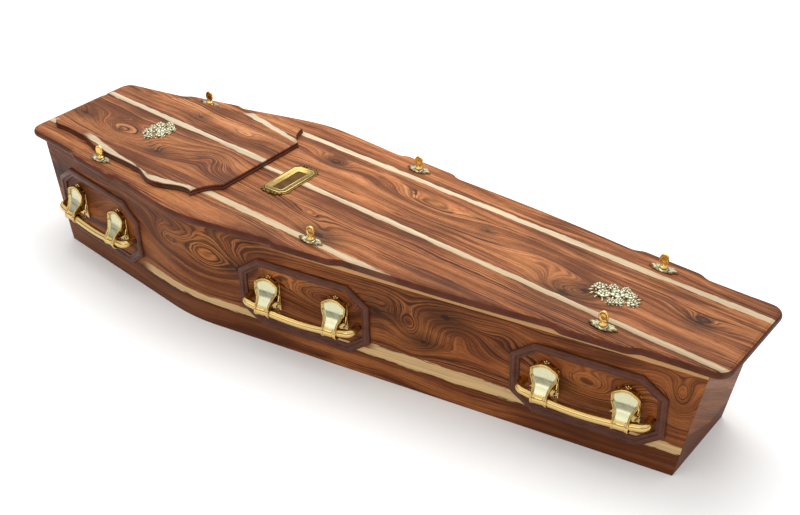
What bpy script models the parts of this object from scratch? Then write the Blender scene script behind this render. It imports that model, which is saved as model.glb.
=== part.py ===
"""Wooden coffin with a shaped raised head panel on its lid and gilt fittings.

Sizes are in metres. +X runs to the foot, -Y is the near side and Z = 0 is the underside.
"""
import math

import bpy
from mathutils import Matrix, Vector

for old in list(bpy.data.objects):
    bpy.data.objects.remove(old)

# Lid plan: straight outline through head, shoulder and foot.
LID_LENGTH = 2.000
HEAD_WIDTH = 0.366
SHOULDER_WIDTH = 0.608
FOOT_WIDTH = 0.304
SHOULDER_X = -0.1805 * LID_LENGTH
SHOULDER_REACH = 0.075     # half the length of the rounded shoulder bend
LID_CORNER_R = 0.036
LID_THICK = 0.020

# Edge of the lid: tabs by the screws, shallow bows between them.
TAB_X = (-0.356 * LID_LENGTH, 0.0, 0.3575 * LID_LENGTH)
TAB_HALF = 0.086
TAB_RISE = 0.005
BOW = 0.007
STEP = 0.034

# Body: walls lean inwards going down.
BODY_HEIGHT = 0.297
BOARD = 0.018
SIDE_INSET = 0.019         # lid outline to the sides' top edge
END_INSET = 0.043          # lid outline to the ends' top edge
SIDE_LEAN = 0.0155
END_LEAN = 0.056
GAP = 0.0003

# Raised head panel
PANEL_THICK = 0.015
PANEL_HEAD_X = -0.4835 * LID_LENGTH
PANEL_FOOT_X = -0.1690 * LID_LENGTH
PANEL_FOOT_WIDTH = 0.292

# Handles: bars on pairs of lugs inside eight-sided frames.
HANDLE_X = (-0.361 * LID_LENGTH, -0.009 * LID_LENGTH, 0.3485 * LID_LENGTH)
FRAME_LENGTH = 0.362
FRAME_HEIGHT = 0.190
FRAME_MID_Z = 0.150
FRAME_CUT_LONG = 0.057
FRAME_CUT_HIGH = 0.043
FRAME_WIDTH = 0.022
FRAME_THICK = 0.009
LUG_SPREAD = 0.187
LUG_RISE = 0.080           # middle of the bar to the top of the lug's arch, less the sag
BAR_R = 0.010
BAR_Z = 0.118
BAR_OUT = 0.034
BAR_END_RISE = 0.018
BAR_HALF = 0.148
BAR_TURN = 0.012
BORE_CLEARANCE = 0.0005
BAND_R = 0.0155
BAND_HALF = 0.020

# Lid fittings
PLATE_X = -0.118 * LID_LENGTH
PLATE_Y = -0.014
PLATE_LENGTH = 0.148
PLATE_WIDTH = 0.075
OPENING_LENGTH = 0.100
OPENING_WIDTH = 0.030
PLATE_FRAME_THICK = 0.005
PLATE_THICK = 0.0015
SPRAY_THICK = 0.011
SCREW_X = (-0.3525 * LID_LENGTH, -0.003 * LID_LENGTH, 0.3565 * LID_LENGTH)
SCREW_INSET = (0.031, 0.045, 0.042)
ROSETTE_THICK = 0.006
SCREW_R = 0.0035

LID_BOTTOM = BODY_HEIGHT + GAP
LID_TOP = LID_BOTTOM + LID_THICK
HEAD_SLOPE = (SHOULDER_WIDTH - HEAD_WIDTH) / 2 / (SHOULDER_X + LID_LENGTH / 2)
FOOT_SLOPE = (FOOT_WIDTH - SHOULDER_WIDTH) / 2 / (LID_LENGTH / 2 - SHOULDER_X)


# Materials

def material(name, colour, roughness, metallic=0.0):
    mat = bpy.data.materials.new(name)
    mat.use_nodes = True
    bsdf = mat.node_tree.nodes["Principled BSDF"]
    bsdf.inputs["Base Color"].default_value = (*colour, 1.0)
    bsdf.inputs["Roughness"].default_value = roughness
    bsdf.inputs["Metallic"].default_value = metallic
    return mat


WOOD = material("wood", (0.42, 0.20, 0.11), 0.35)
DARK_WOOD = material("dark_wood", (0.10, 0.04, 0.03), 0.35)
GILT = material("gilt", (0.85, 0.62, 0.22), 0.2, 1.0)
PLATE = material("plate", (0.22, 0.13, 0.03), 0.3, 0.8)


# Mesh helpers

def signed_volume(mesh):
    total = 0.0
    for face in mesh.polygons:
        corners = [mesh.vertices[i].co for i in face.vertices]
        for a, b in zip(corners[1:-1], corners[2:]):
            total += corners[0].dot(a.cross(b))
    return total / 6


def add_object(name, verts, faces, mat):
    mesh = bpy.data.meshes.new(name)
    mesh.from_pydata([tuple(v) for v in verts], [], faces)
    mesh.materials.append(mat)
    if signed_volume(mesh) < 0:
        mesh.flip_normals()
    mesh.shade_smooth()
    mesh.set_sharp_from_angle(angle=math.radians(35))
    obj = bpy.data.objects.new(name, mesh)
    bpy.context.scene.collection.objects.link(obj)
    return obj


def ring_solid(name, rings, mat):
    """A solid from closed rings of equal length, capped at the first and last ring."""
    count = len(rings[0])
    verts = [v for ring in rings for v in ring]
    faces = [tuple(reversed(range(count))), tuple(range((len(rings) - 1) * count, len(rings) * count))]
    for k in range(len(rings) - 1):
        for i in range(count):
            j = (i + 1) % count
            faces.append((k * count + i, k * count + j, (k + 1) * count + j, (k + 1) * count + i))
    return add_object(name, verts, faces, mat)


def outward_normals(half):
    """Unit normals of a half outline that runs from head to foot on the +Y side."""
    normals = []
    for i, _ in enumerate(half):
        if i == 0:
            normals.append(Vector((-1, 0)))
        elif i == len(half) - 1:
            normals.append(Vector((1, 0)))
        else:
            along = (half[i + 1] - half[i]).normalized() + (half[i] - half[i - 1]).normalized()
            normals.append(Vector((-along.y, along.x)).normalized())
    return normals


def plate_solid(name, half, levels, mat):
    """A flat piece, the same on both sides of y = 0, from a half outline and (inset, z) levels going up."""
    normals = outward_normals(half)
    count = len(half)
    verts = []
    for inset, z in levels:
        moved = [p - n * inset for p, n in zip(half, normals)]
        verts += [(p.x, -p.y, z) for p in moved]
        verts += [(p.x, p.y, z) for p in moved]
    faces = []
    top = (len(levels) - 1) * 2 * count
    for i in range(count - 1):
        faces.append((i, i + count, i + count + 1, i + 1))
        faces.append((top + i, top + i + 1, top + i + count + 1, top + i + count))
    for k in range(len(levels) - 1):
        low = k * 2 * count
        high = low + 2 * count
        for i in range(count - 1):
            faces.append((low + i, low + i + 1, high + i + 1, high + i))
            faces.append((low + count + i + 1, low + count + i, high + count + i, high + count + i + 1))
        faces.append((low + count, low, high, high + count))
        last = count - 1
        faces.append((low + last, low + count + last, high + count + last, high + last))
    return add_object(name, verts, faces, mat)


def smooth_step(t):
    t = min(max(t, 0.0), 1.0)
    return t * t * (3 - 2 * t)


# Plan of the body and the lid

def half_width(x, inset):
    """Half width of the straight outline at x, moved in by inset, with the shoulder rounded."""
    half = SHOULDER_WIDTH / 2
    head = half + HEAD_SLOPE * (x - SHOULDER_X) - inset * math.hypot(1, HEAD_SLOPE)
    foot = half + FOOT_SLOPE * (x - SHOULDER_X) - inset * math.hypot(1, FOOT_SLOPE)
    if x <= SHOULDER_X - SHOULDER_REACH:
        return head
    if x >= SHOULDER_X + SHOULDER_REACH:
        return foot
    start = x - (SHOULDER_X - SHOULDER_REACH)
    blend = (FOOT_SLOPE - HEAD_SLOPE) * start ** 2 / (4 * SHOULDER_REACH)
    slack = inset * (math.hypot(1, HEAD_SLOPE) - math.hypot(1, FOOT_SLOPE)) * start / (2 * SHOULDER_REACH)
    return head + blend + slack


def edge_shift(x):
    """How far the lid's edge stands out of (or back from) the straight outline at x."""
    end = LID_LENGTH / 2
    bounds = [-end] + [c + s * TAB_HALF for c in TAB_X for s in (-1, 1)] + [end]
    low = max(b for b in bounds if b <= x)
    high = min(b for b in bounds if b >= x)
    share = (x - low) / max(high - low, 1e-6)
    if low == -end:
        bow = -BOW * share
    elif high == end:
        bow = -BOW * (1 - share)
    else:
        bow = -BOW * (1 - math.sin(math.pi * share))
    outer = min(abs(x - c) for c in TAB_X) - TAB_HALF
    if outer <= 0:
        bow = -BOW
    blend = smooth_step(0.5 + outer / STEP)
    return TAB_RISE * (1 - blend) + bow * blend


def lid_half_outline():
    end = LID_LENGTH / 2
    r = LID_CORNER_R
    points = []
    turn = math.atan(HEAD_SLOPE)
    y = HEAD_WIDTH / 2 + HEAD_SLOPE * r - r * math.hypot(1, HEAD_SLOPE)
    for i in range(6):
        a = math.pi - (math.pi / 2 - turn) * i / 5
        points.append(Vector((-end + r + r * math.cos(a), y + r * math.sin(a))))
    turn = math.atan(FOOT_SLOPE)
    y = FOOT_WIDTH / 2 - FOOT_SLOPE * r - r * math.hypot(1, FOOT_SLOPE)
    last = []
    for i in range(6):
        a = math.pi / 2 + turn - (math.pi / 2 + turn) * i / 5
        last.append(Vector((end - r + r * math.cos(a), y + r * math.sin(a))))
    stations = []
    for c in TAB_X:
        for side in (-1, 1):
            stations += [c + side * TAB_HALF + STEP * (i / 4 - 0.5) for i in range(5)]
        stations += [c - TAB_HALF / 3, c + TAB_HALF / 3]
    bend = [SHOULDER_X + SHOULDER_REACH * (i / 3 - 1) for i in range(7)]
    tab_ends = sorted(c + s * (TAB_HALF + STEP / 2) for c in TAB_X for s in (-1, 1))
    edges = [points[-1].x] + tab_ends + [last[0].x]
    for low, high in zip(edges[::2], edges[1::2]):
        parts = max(3, round((high - low) / 0.085))
        spread = [low + (high - low) * i / parts for i in range(1, parts)]
        stations += [x for x in spread if not bend[0] - 0.02 < x < bend[-1] + 0.02]
    stations += [x for x in bend if all(abs(x - c) > TAB_HALF + STEP / 2 for c in TAB_X)]
    first_x, last_x = points[-1].x, last[0].x
    for x in sorted(stations):
        fade = min(1.0, (x - first_x) / 0.05, (last_x - x) / 0.05)
        points.append(Vector((x, half_width(x, 0) + edge_shift(x) * fade)))
    return points + last


def side_lean(z):
    return SIDE_LEAN * (1 - z / BODY_HEIGHT)


def end_x(z, side):
    """Outer face of an end board at height z; side is -1 at the head and 1 at the foot."""
    return side * (LID_LENGTH / 2 - END_INSET - END_LEAN * (1 - z / BODY_HEIGHT))


def side_board(name, side):
    def row(z, depth):
        low = end_x(z, -1) + depth + GAP * 0.75
        high = end_x(z, 1) - depth - GAP * 0.75
        bend = [SHOULDER_X + SHOULDER_REACH * (i / 6 - 1) for i in range(13)]
        inset = SIDE_INSET + side_lean(z) + depth
        return [Vector((x, side * half_width(x, inset), z)) for x in [low] + bend + [high]]

    rows = [row(0, 0), row(BODY_HEIGHT, 0), row(BODY_HEIGHT, BOARD), row(0, BOARD)]
    rings = [[r[i] for r in rows] for i in range(len(rows[0]))]
    if side > 0:
        rings = [list(reversed(ring)) for ring in rings]
    return ring_solid(name, rings, WOOD)


def end_board(name, side):
    def corner(z, depth, y_side):
        x = end_x(z, side) - side * depth
        return Vector((x, y_side * (half_width(x, SIDE_INSET + side_lean(z) + depth) - GAP * 0.75), z))

    rings = []
    for y_side in (-side, side):
        rings.append([corner(0, 0, y_side), corner(BODY_HEIGHT, 0, y_side),
                      corner(BODY_HEIGHT, BOARD, y_side), corner(0, BOARD, y_side)])
    return ring_solid(name, [list(reversed(r)) for r in rings], WOOD)


def base_board():
    inset = SIDE_INSET + SIDE_LEAN + BOARD + GAP
    low = end_x(0, -1) + BOARD + GAP
    high = end_x(0, 1) - BOARD - GAP
    bend = [SHOULDER_X + SHOULDER_REACH * (i / 4 - 1) for i in range(9)]
    half = [Vector((x, half_width(x, inset))) for x in [low] + bend + [high]]
    return plate_solid("base_board", half, [(0, 0), (0, BOARD)], WOOD)


def lid_board():
    r = LID_THICK / 2
    levels = []
    for i in range(5):
        a = math.pi * (i / 4 - 0.5)
        levels.append((r * 0.8 * (1 - math.cos(a)), LID_BOTTOM + r + r * math.sin(a)))
    return plate_solid("lid_board", lid_half_outline(), levels, WOOD)


# Raised head panel

def panel_half_outline():
    """Canted head corner, a step by the screw, a step to the shoulder curl, its tip and the foot edge."""
    x0 = PANEL_HEAD_X
    span = PANEL_FOOT_X - x0

    def at(share, margin):
        x = x0 + share * span
        return Vector((x, half_width(x, 0) - margin))

    points = [at(0.000, 0.077), at(0.014, 0.063), at(0.045, 0.053), at(0.115, 0.061)]
    steps = [(0.205, 0.062, 0.370, 0.050), (0.605, 0.059, 0.735, 0.044)]
    for low, low_margin, high, high_margin in steps:
        a, b = at(low, low_margin), at(high, high_margin)
        for i in range(7):
            t = i / 6
            points.append(Vector((a.x + (b.x - a.x) * t, a.y + (b.y - a.y) * smooth_step(t))))
        if low == steps[0][0]:
            points.append(at(0.49, 0.056))
    curl, tip = at(0.750, 0.044), at(0.930, 0.078)
    for i in range(8):
        t = i / 7
        dip = 0.016 * t * math.sin(math.pi * t ** 1.1)
        y = curl.y + (tip.y - curl.y) * smooth_step(t) - dip
        points.append(Vector((curl.x + (tip.x - curl.x) * t, y)))
    foot = Vector((PANEL_FOOT_X, PANEL_FOOT_WIDTH / 2))
    for i in range(1, 5):
        t = i / 5
        hollow = 0.008 * math.sin(math.pi * t)
        points.append(tip.lerp(foot, t) - Vector((hollow, hollow * 0.6)))
    return points + [foot]


def head_panel():
    z = LID_TOP + GAP
    profile = [(0, 0), (0, 0.45), (0.0028, 0.62), (0.0032, 0.88), (0.0055, 1.0)]
    levels = [(inset, z + PANEL_THICK * share) for inset, share in profile]
    return plate_solid("head_panel", panel_half_outline(), levels, WOOD)


# Frames, lugs and bars: built in wall axes and hung on an empty that stands on the wall

def wall_empty(name, x, side):
    """Wall axes at plan position x: u along the wall, n out of it and w up it, from the floor line."""
    slope = HEAD_SLOPE if x < SHOULDER_X else FOOT_SLOPE
    foot = Vector((x, side * half_width(x, SIDE_INSET + SIDE_LEAN), 0))
    top = Vector((x, side * half_width(x, SIDE_INSET), BODY_HEIGHT))
    along = Vector((side, slope, 0)).normalized()
    out = (top - foot).cross(along).normalized()
    matrix = Matrix((along, out, along.cross(out))).transposed().to_4x4()
    matrix.translation = foot
    empty = bpy.data.objects.new(name, None)
    bpy.context.scene.collection.objects.link(empty)
    empty.matrix_world = matrix
    return empty


def hang(obj, empty, u=0.0):
    obj.parent = empty
    obj.location = (u, 0, 0)
    return obj


def frame_mesh(name):
    """An eight-sided moulding: a cross-section carried round a ring with eight mitres."""
    length, height = FRAME_LENGTH / 2, FRAME_HEIGHT / 2
    profile = [(0, 0.5), (0.25, 0.9), (0.45, 1.0), (0.62, 0.9), (0.70, 0.55), (1.0, 0.35)]
    section = [(0, GAP)] + [(s * FRAME_WIDTH, h * FRAME_THICK) for s, h in profile] + [(FRAME_WIDTH, GAP)]
    corners = []
    for su, sw in ((1, 1), (-1, 1), (-1, -1), (1, -1)):
        long_end = Vector((su * (length - FRAME_CUT_LONG), sw * height))
        high_end = Vector((su * length, sw * (height - FRAME_CUT_HIGH)))
        corners += [high_end, long_end] if su == sw else [long_end, high_end]
    rings = []
    count = len(corners)
    for i, here in enumerate(corners):
        before = (here - corners[i - 1]).normalized()
        after = (corners[(i + 1) % count] - here).normalized()
        inward = Vector((-before.y - after.y, before.x + after.x)).normalized()
        inward /= inward.dot(Vector((-before.y, before.x)))
        rings.append([Vector((here.x + inward.x * s, n, FRAME_MID_Z + here.y + inward.y * s))
                      for s, n in section])
    verts = [v for ring in rings for v in ring]
    size = len(section)
    faces = []
    for i in range(count):
        j = (i + 1) % count
        for k in range(size):
            m = (k + 1) % size
            faces.append((i * size + k, j * size + k, j * size + m, i * size + m))
    return add_object(name, verts, faces, DARK_WOOD)


def bar_height(u):
    """Height of the bar's middle at u along it: it sags between its ends."""
    return BAR_Z + BAR_END_RISE * (u / BAR_HALF) ** 2


def bar_path():
    """Centre line in wall axes: a shallow sag that turns back to the wall at both ends."""
    side = []
    for i in range(4):
        u = (BAR_HALF - BAR_TURN) * i / 3
        side.append(Vector((u, BAR_OUT, bar_height(u))))
    start = side[-1]
    for i in range(1, 3):
        a = math.pi / 2 * i / 2
        u = start.x + BAR_TURN * math.sin(a)
        side.append(Vector((u, start.y - BAR_TURN * (1 - math.cos(a)), bar_height(u))))
    side.append(Vector((side[-1].x, GAP, side[-1].z)))
    return [Vector((-p.x, p.y, p.z)) for p in reversed(side[1:])] + side


def tube(name, path, radius, mat, sides=8):
    """A round bar along a path, its rings held square to it and its ends flat on the wall."""
    rings = []
    for i, p in enumerate(path):
        ahead = path[min(i + 1, len(path) - 1)]
        behind = path[max(i - 1, 0)]
        along = (ahead - behind).normalized()
        across = along.cross(Vector((0, 0, 1))).normalized()
        other = across.cross(along)
        rings.append([p + radius * (math.cos(a) * across + math.sin(a) * other)
                      for a in (2 * math.pi * k / sides for k in range(sides))])
    return ring_solid(name, rings, mat)


def lug_mesh(name):
    """A hood: plate on the wall, side webs, an arched rim and a face that narrows down to the band.

    A row holds the height over the middle of the band, the half width and distance of the face, the half
    widths of the web and the plate, and how far the arch drops at its ends.
    """
    rows = [
        (0.003, 0.0185, 0.0420, 0.0150, 0.028, 0.000),
        (0.016, 0.0190, 0.0390, 0.0155, 0.028, 0.000),
        (0.038, 0.0245, 0.0235, 0.0210, 0.029, 0.005),
        (0.059, 0.0305, 0.0165, 0.0270, 0.030, 0.012),
        (0.063, 0.0315, 0.0195, 0.0275, 0.030, 0.013),
        (LUG_RISE, 0.0330, 0.0160, 0.0280, 0.030, 0.016),
    ]
    base = bar_height(LUG_SPREAD / 2)
    rings = []
    for rise, face, out, web, plate, drop in rows:
        height = base + rise
        half = [(plate, GAP), (plate, 0.0035), (web, 0.0045), (web, out - 0.005), (face, out)]
        section = half + [(-u, n) for u, n in reversed(half)]
        rings.append([Vector((u, n, height - drop * (u / 0.033) ** 2)) for u, n in section])
    return ring_solid(name, rings, GILT)


def cutter(name, mesh_object):
    mesh_object.name = name
    mesh_object.hide_render = True
    mesh_object.display_type = "WIRE"
    return mesh_object


def add_boolean(obj, other, operation):
    mod = obj.modifiers.new(other.name, "BOOLEAN")
    mod.operation = operation
    mod.solver = "EXACT"
    mod.object = other


def band_mesh(name):
    """The band that wraps the bar below the lug's face."""
    rings = []
    for u in (-BAND_HALF, BAND_HALF):
        centre = Vector((u, BAR_OUT, bar_height(LUG_SPREAD / 2)))
        rings.append([centre + BAND_R * Vector((0, math.cos(a), math.sin(a)))
                      for a in (math.pi * (k + 0.5) / 5 for k in range(10))])
    return ring_solid(name, rings, GILT)


def handles():
    for place, x in zip(("head", "shoulder", "foot"), HANDLE_X):
        for side, side_name in ((-1, "near"), (1, "far")):
            tag = f"{place}_{side_name}"
            empty = wall_empty(f"handle_{tag}", x, side)
            hang(frame_mesh(f"handle_frame_{tag}"), empty)
            hang(tube(f"handle_bar_{tag}", bar_path(), BAR_R, GILT), empty)
            bore = hang(cutter(f"bore_{tag}", tube("bore", bar_path(), BAR_R + BORE_CLEARANCE, GILT)), empty)
            for end, end_name in ((-1, "a"), (1, "b")):
                offset = side * end * LUG_SPREAD / 2
                lug = hang(lug_mesh(f"handle_lug_{tag}_{end_name}"), empty, offset)
                band = hang(cutter(f"band_{tag}_{end_name}", band_mesh("band")), empty, offset)
                add_boolean(lug, band, "UNION")
                add_boolean(lug, bore, "DIFFERENCE")


# Fittings on the lid

def ornament(name, place, outline, relief, mat, sides, shares, hole=0.0):
    """A flat-backed ornament at place: outline gives its radius at an angle, relief its height at a point.

    The shares are the fractions of the radius, going inwards, at which the top has a ring.
    """
    angles = [2 * math.pi * i / sides for i in range(sides)]

    def ring(share, flat=False):
        points = []
        for a in angles:
            r = hole + (outline(a) - hole) * share
            u, v = r * math.cos(a), r * math.sin(a)
            points.append(Vector((u, v, 0 if flat else relief(u, v, share))))
        return points

    rings = [ring(1.0, flat=True)] + [ring(share) for share in shares]
    verts = [v for r in rings for v in r]
    faces = []
    links = [(k, k + 1) for k in range(len(rings) - 1)]
    if hole:
        verts += [Vector((hole * math.cos(a), hole * math.sin(a), relief(0, 0, 0))) for a in angles]
        verts += [Vector((hole * math.cos(a), hole * math.sin(a), 0)) for a in angles]
        last = len(rings)
        links += [(last - 1, last), (last, last + 1), (last + 1, 0)]
    else:
        verts += [Vector((0, 0, relief(0, 0, 0))), Vector((0, 0, 0))]
        top, bottom = len(verts) - 2, len(verts) - 1
        low = (len(rings) - 1) * sides
        for i in range(sides):
            j = (i + 1) % sides
            faces += [(low + i, low + j, top), (j, i, bottom)]
    for k, m in links:
        for i in range(sides):
            j = (i + 1) % sides
            faces.append((k * sides + i, k * sides + j, m * sides + j, m * sides + i))
    obj = add_object(name, verts, faces, mat)
    obj.location = place
    return obj


def dome(u, v, cu, cv, radius):
    """Height share, 0 to 1, of a round boss at (cu, cv)."""
    return max(0.0, 1 - ((u - cu) ** 2 + (v - cv) ** 2) / radius ** 2) ** 0.5


def sprays():
    """Two clusters of blossoms and leaves, each one casting."""
    plans = {
        "spray_head": (-0.3390 * LID_LENGTH, -0.020, LID_TOP + GAP + PANEL_THICK + GAP, 0.046, 0.058, [
            (-0.026, 0.020, 0.015), (0.002, 0.002, 0.017), (0.026, 0.024, 0.013), (0.024, -0.022, 0.014),
            (-0.022, -0.024, 0.014), (-0.002, 0.040, 0.013), (0.003, -0.042, 0.012)]),
        "spray_foot": (0.3380 * LID_LENGTH, -0.018, LID_TOP + GAP, 0.068, 0.044, [
            (-0.043, 0.020, 0.015), (-0.022, -0.008, 0.016), (0.008, 0.010, 0.017), (0.034, 0.012, 0.014),
            (0.048, -0.012, 0.016), (0.014, -0.026, 0.013), (-0.012, 0.030, 0.012)]),
    }
    for name, (x, y, z, reach_x, reach_y, bosses) in plans.items():
        def outline(a, reach_x=reach_x, reach_y=reach_y):
            base = 1 / math.hypot(math.cos(a) / reach_x, math.sin(a) / reach_y)
            return base * (0.90 + 0.10 * math.cos(7 * a + 0.6))

        def relief(u, v, share, bosses=bosses):
            boss = max(dome(u, v, *b) for b in bosses)
            return SPRAY_THICK * (0.18 + 0.12 * (1 - share) + 0.70 * boss)

        ornament(name, (x, y, z), outline, relief, GILT, 28, (1.0, 0.82, 0.60, 0.38, 0.18))


def rosette(name, x, y):
    """A collar with a leaf to the head and a leaf to the foot, pierced for the screw."""
    def outline(a):
        leaf = abs(math.cos(a)) ** 3
        return 0.0130 + leaf * 0.0240 + 0.0012 * math.cos(14 * a) * leaf

    def relief(u, v, share):
        vein = 1 - min(1.0, abs(v) / 0.006)
        return ROSETTE_THICK * (0.35 + 0.35 * vein * share + 0.65 * (1 - share) ** 2)

    ornament(name, (x, y, LID_TOP + GAP), outline, relief, GILT, 16, (1.0, 0.5), hole=SCREW_R + GAP)


def thumb_screw(name, x, y):
    """Stem, round collar and an oval wing that stands across the lid; the shank in the wood is left out."""
    seat = ROSETTE_THICK + GAP
    sections = [  # height, half width along X, half width along Y
        (0.0, SCREW_R, SCREW_R), (seat, SCREW_R, SCREW_R), (seat + 0.0005, 0.0100, 0.0100),
        (seat + 0.005, 0.0080, 0.0080), (seat + 0.008, 0.0045, 0.0042), (seat + 0.013, 0.0095, 0.0032),
        (seat + 0.021, 0.0120, 0.0028), (seat + 0.029, 0.0090, 0.0024), (seat + 0.034, 0.0035, 0.0018),
    ]
    rings = []
    for height, wide, deep in sections:
        rings.append([Vector((wide * math.cos(a), deep * math.sin(a), height))
                      for a in (2 * math.pi * k / 10 for k in range(10))])
    ring_solid(name, rings, GILT).location = (x, y, LID_TOP + GAP)


def screws():
    for place, x, inset in zip(("head", "middle", "foot"), SCREW_X, SCREW_INSET):
        for side, side_name in ((-1, "near"), (1, "far")):
            y = side * (half_width(x, 0) - inset)
            rosette(f"screw_rosette_{place}_{side_name}", x, y)
            thumb_screw(f"thumb_screw_{place}_{side_name}", x, y)


def plate_outlines():
    """Outer and opening outlines of the nameplate frame, point for point, with its long way along Y."""
    outer, inner = [], []
    cut = 0.020
    for turn in (1, -1):
        for i in range(5):
            t = i / 2 - 1
            crest = 0.006 if turn == 1 and i == 0 else 0.0
            outer.append(Vector((turn * (PLATE_WIDTH / 2 + crest), turn * t * (PLATE_LENGTH / 2 - cut))))
            inner.append(Vector((turn * OPENING_WIDTH / 2, turn * t * OPENING_LENGTH / 2)))
        for i in range(9):
            t = 1 - i / 4
            scroll = 0.013 if i % 2 else 0.003
            edge = Vector((turn * t * (PLATE_WIDTH / 2 - cut * 0.55), turn * (PLATE_LENGTH / 2 + scroll)))
            outer.append(edge)
            inner.append(Vector((turn * t * 0.9 * OPENING_WIDTH / 2, turn * OPENING_LENGTH / 2)))
    return outer, inner


def nameplate():
    place = (PLATE_X, PLATE_Y, LID_TOP + GAP)
    outer, inner = plate_outlines()
    section = [(0.0, 0.0), (0.0, 0.45), (0.30, 0.65), (0.42, 1.0), (0.90, 0.8), (1.0, 0.0)]
    verts = []
    for share, height in section:
        for a, b in zip(outer, inner):
            p = a.lerp(b, share)
            verts.append(Vector((p.x, p.y, height * PLATE_FRAME_THICK)))
    count = len(outer)
    faces = []
    for k in range(len(section)):
        m = (k + 1) % len(section)
        for i in range(count):
            j = (i + 1) % count
            faces.append((k * count + i, k * count + j, m * count + j, m * count + i))
    add_object("nameplate_frame", verts, faces, GILT).location = place
    half_x = OPENING_WIDTH / 2 - GAP
    half_y = OPENING_LENGTH / 2 - GAP
    corners = ((-1, -1), (1, -1), (1, 1), (-1, 1))
    rings = [[Vector((sx * half_x, sy * half_y, h)) for sx, sy in corners] for h in (0, PLATE_THICK)]
    ring_solid("nameplate", rings, PLATE).location = place


base_board()
side_board("side_board_near", -1)
side_board("side_board_far", 1)
end_board("end_board_head", -1)
end_board("end_board_foot", 1)
lid_board()
head_panel()
handles()
sprays()
screws()
nameplate()
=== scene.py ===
import math
import bpy
from mathutils import Matrix, Vector


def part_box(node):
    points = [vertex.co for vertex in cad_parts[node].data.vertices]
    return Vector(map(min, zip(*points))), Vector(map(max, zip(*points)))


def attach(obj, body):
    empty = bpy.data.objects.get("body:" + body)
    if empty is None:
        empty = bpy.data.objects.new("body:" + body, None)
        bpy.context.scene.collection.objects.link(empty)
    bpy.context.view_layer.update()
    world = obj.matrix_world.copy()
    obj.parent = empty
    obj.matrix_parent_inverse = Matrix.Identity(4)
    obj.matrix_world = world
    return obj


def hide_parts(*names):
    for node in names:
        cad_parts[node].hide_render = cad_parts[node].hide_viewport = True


# A wooden coffin with a shaped head panel and gilt fittings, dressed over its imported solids. Sizes are in
# metres, +X runs to the foot and -Y is the near side.
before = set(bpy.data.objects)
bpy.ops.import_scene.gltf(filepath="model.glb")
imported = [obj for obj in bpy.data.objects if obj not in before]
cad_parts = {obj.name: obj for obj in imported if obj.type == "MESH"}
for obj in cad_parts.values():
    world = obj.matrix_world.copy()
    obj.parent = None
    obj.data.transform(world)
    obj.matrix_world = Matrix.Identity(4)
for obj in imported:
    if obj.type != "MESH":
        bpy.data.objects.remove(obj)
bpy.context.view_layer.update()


# The box: two long sides bent at the shoulder, two ends and a base, all of one edge-glued hardwood whose
# pale sapwood runs along the glue lines. The boards are sawn, mitred at the corners, oiled and varnished.
BOARD_EDGE = 0.0012
LIGHT_HEART = (0.58, 0.255, 0.115)
PALE_HEART = (0.4, 0.15, 0.06)
RED_HEART = (0.24, 0.078, 0.029)
DARK_HEART = (0.1, 0.03, 0.012)
WARM_PATCH = (0.6, 0.25, 0.095)
DULL_PATCH = (0.13, 0.039, 0.015)
RING_LINE = (0.045, 0.014, 0.006)
KNOT_HEART = (0.024, 0.01, 0.006)
END_GREY = (0.47, 0.235, 0.145)
SAPWOOD = (0.6, 0.51, 0.385)
SIDE_SAPWOOD = (0.84, 0.7, 0.52)
# Pale band along the top of each side just under the lid: pale wood with painted light, made bright where the
# board's top edge catches light against the lid's shade.
LIT_TAN_EDGE = (0.78, 0.52, 0.32)
# Painted shade: the tone that darkens the long sides and the head end, as upright faces get less light from
# above than the lid.
SIDE_PAINTED_SHADE = (0.76, 0.6, 0.38)
BROAD_RING = 0.0064
FINE_RING = 0.0025


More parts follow.
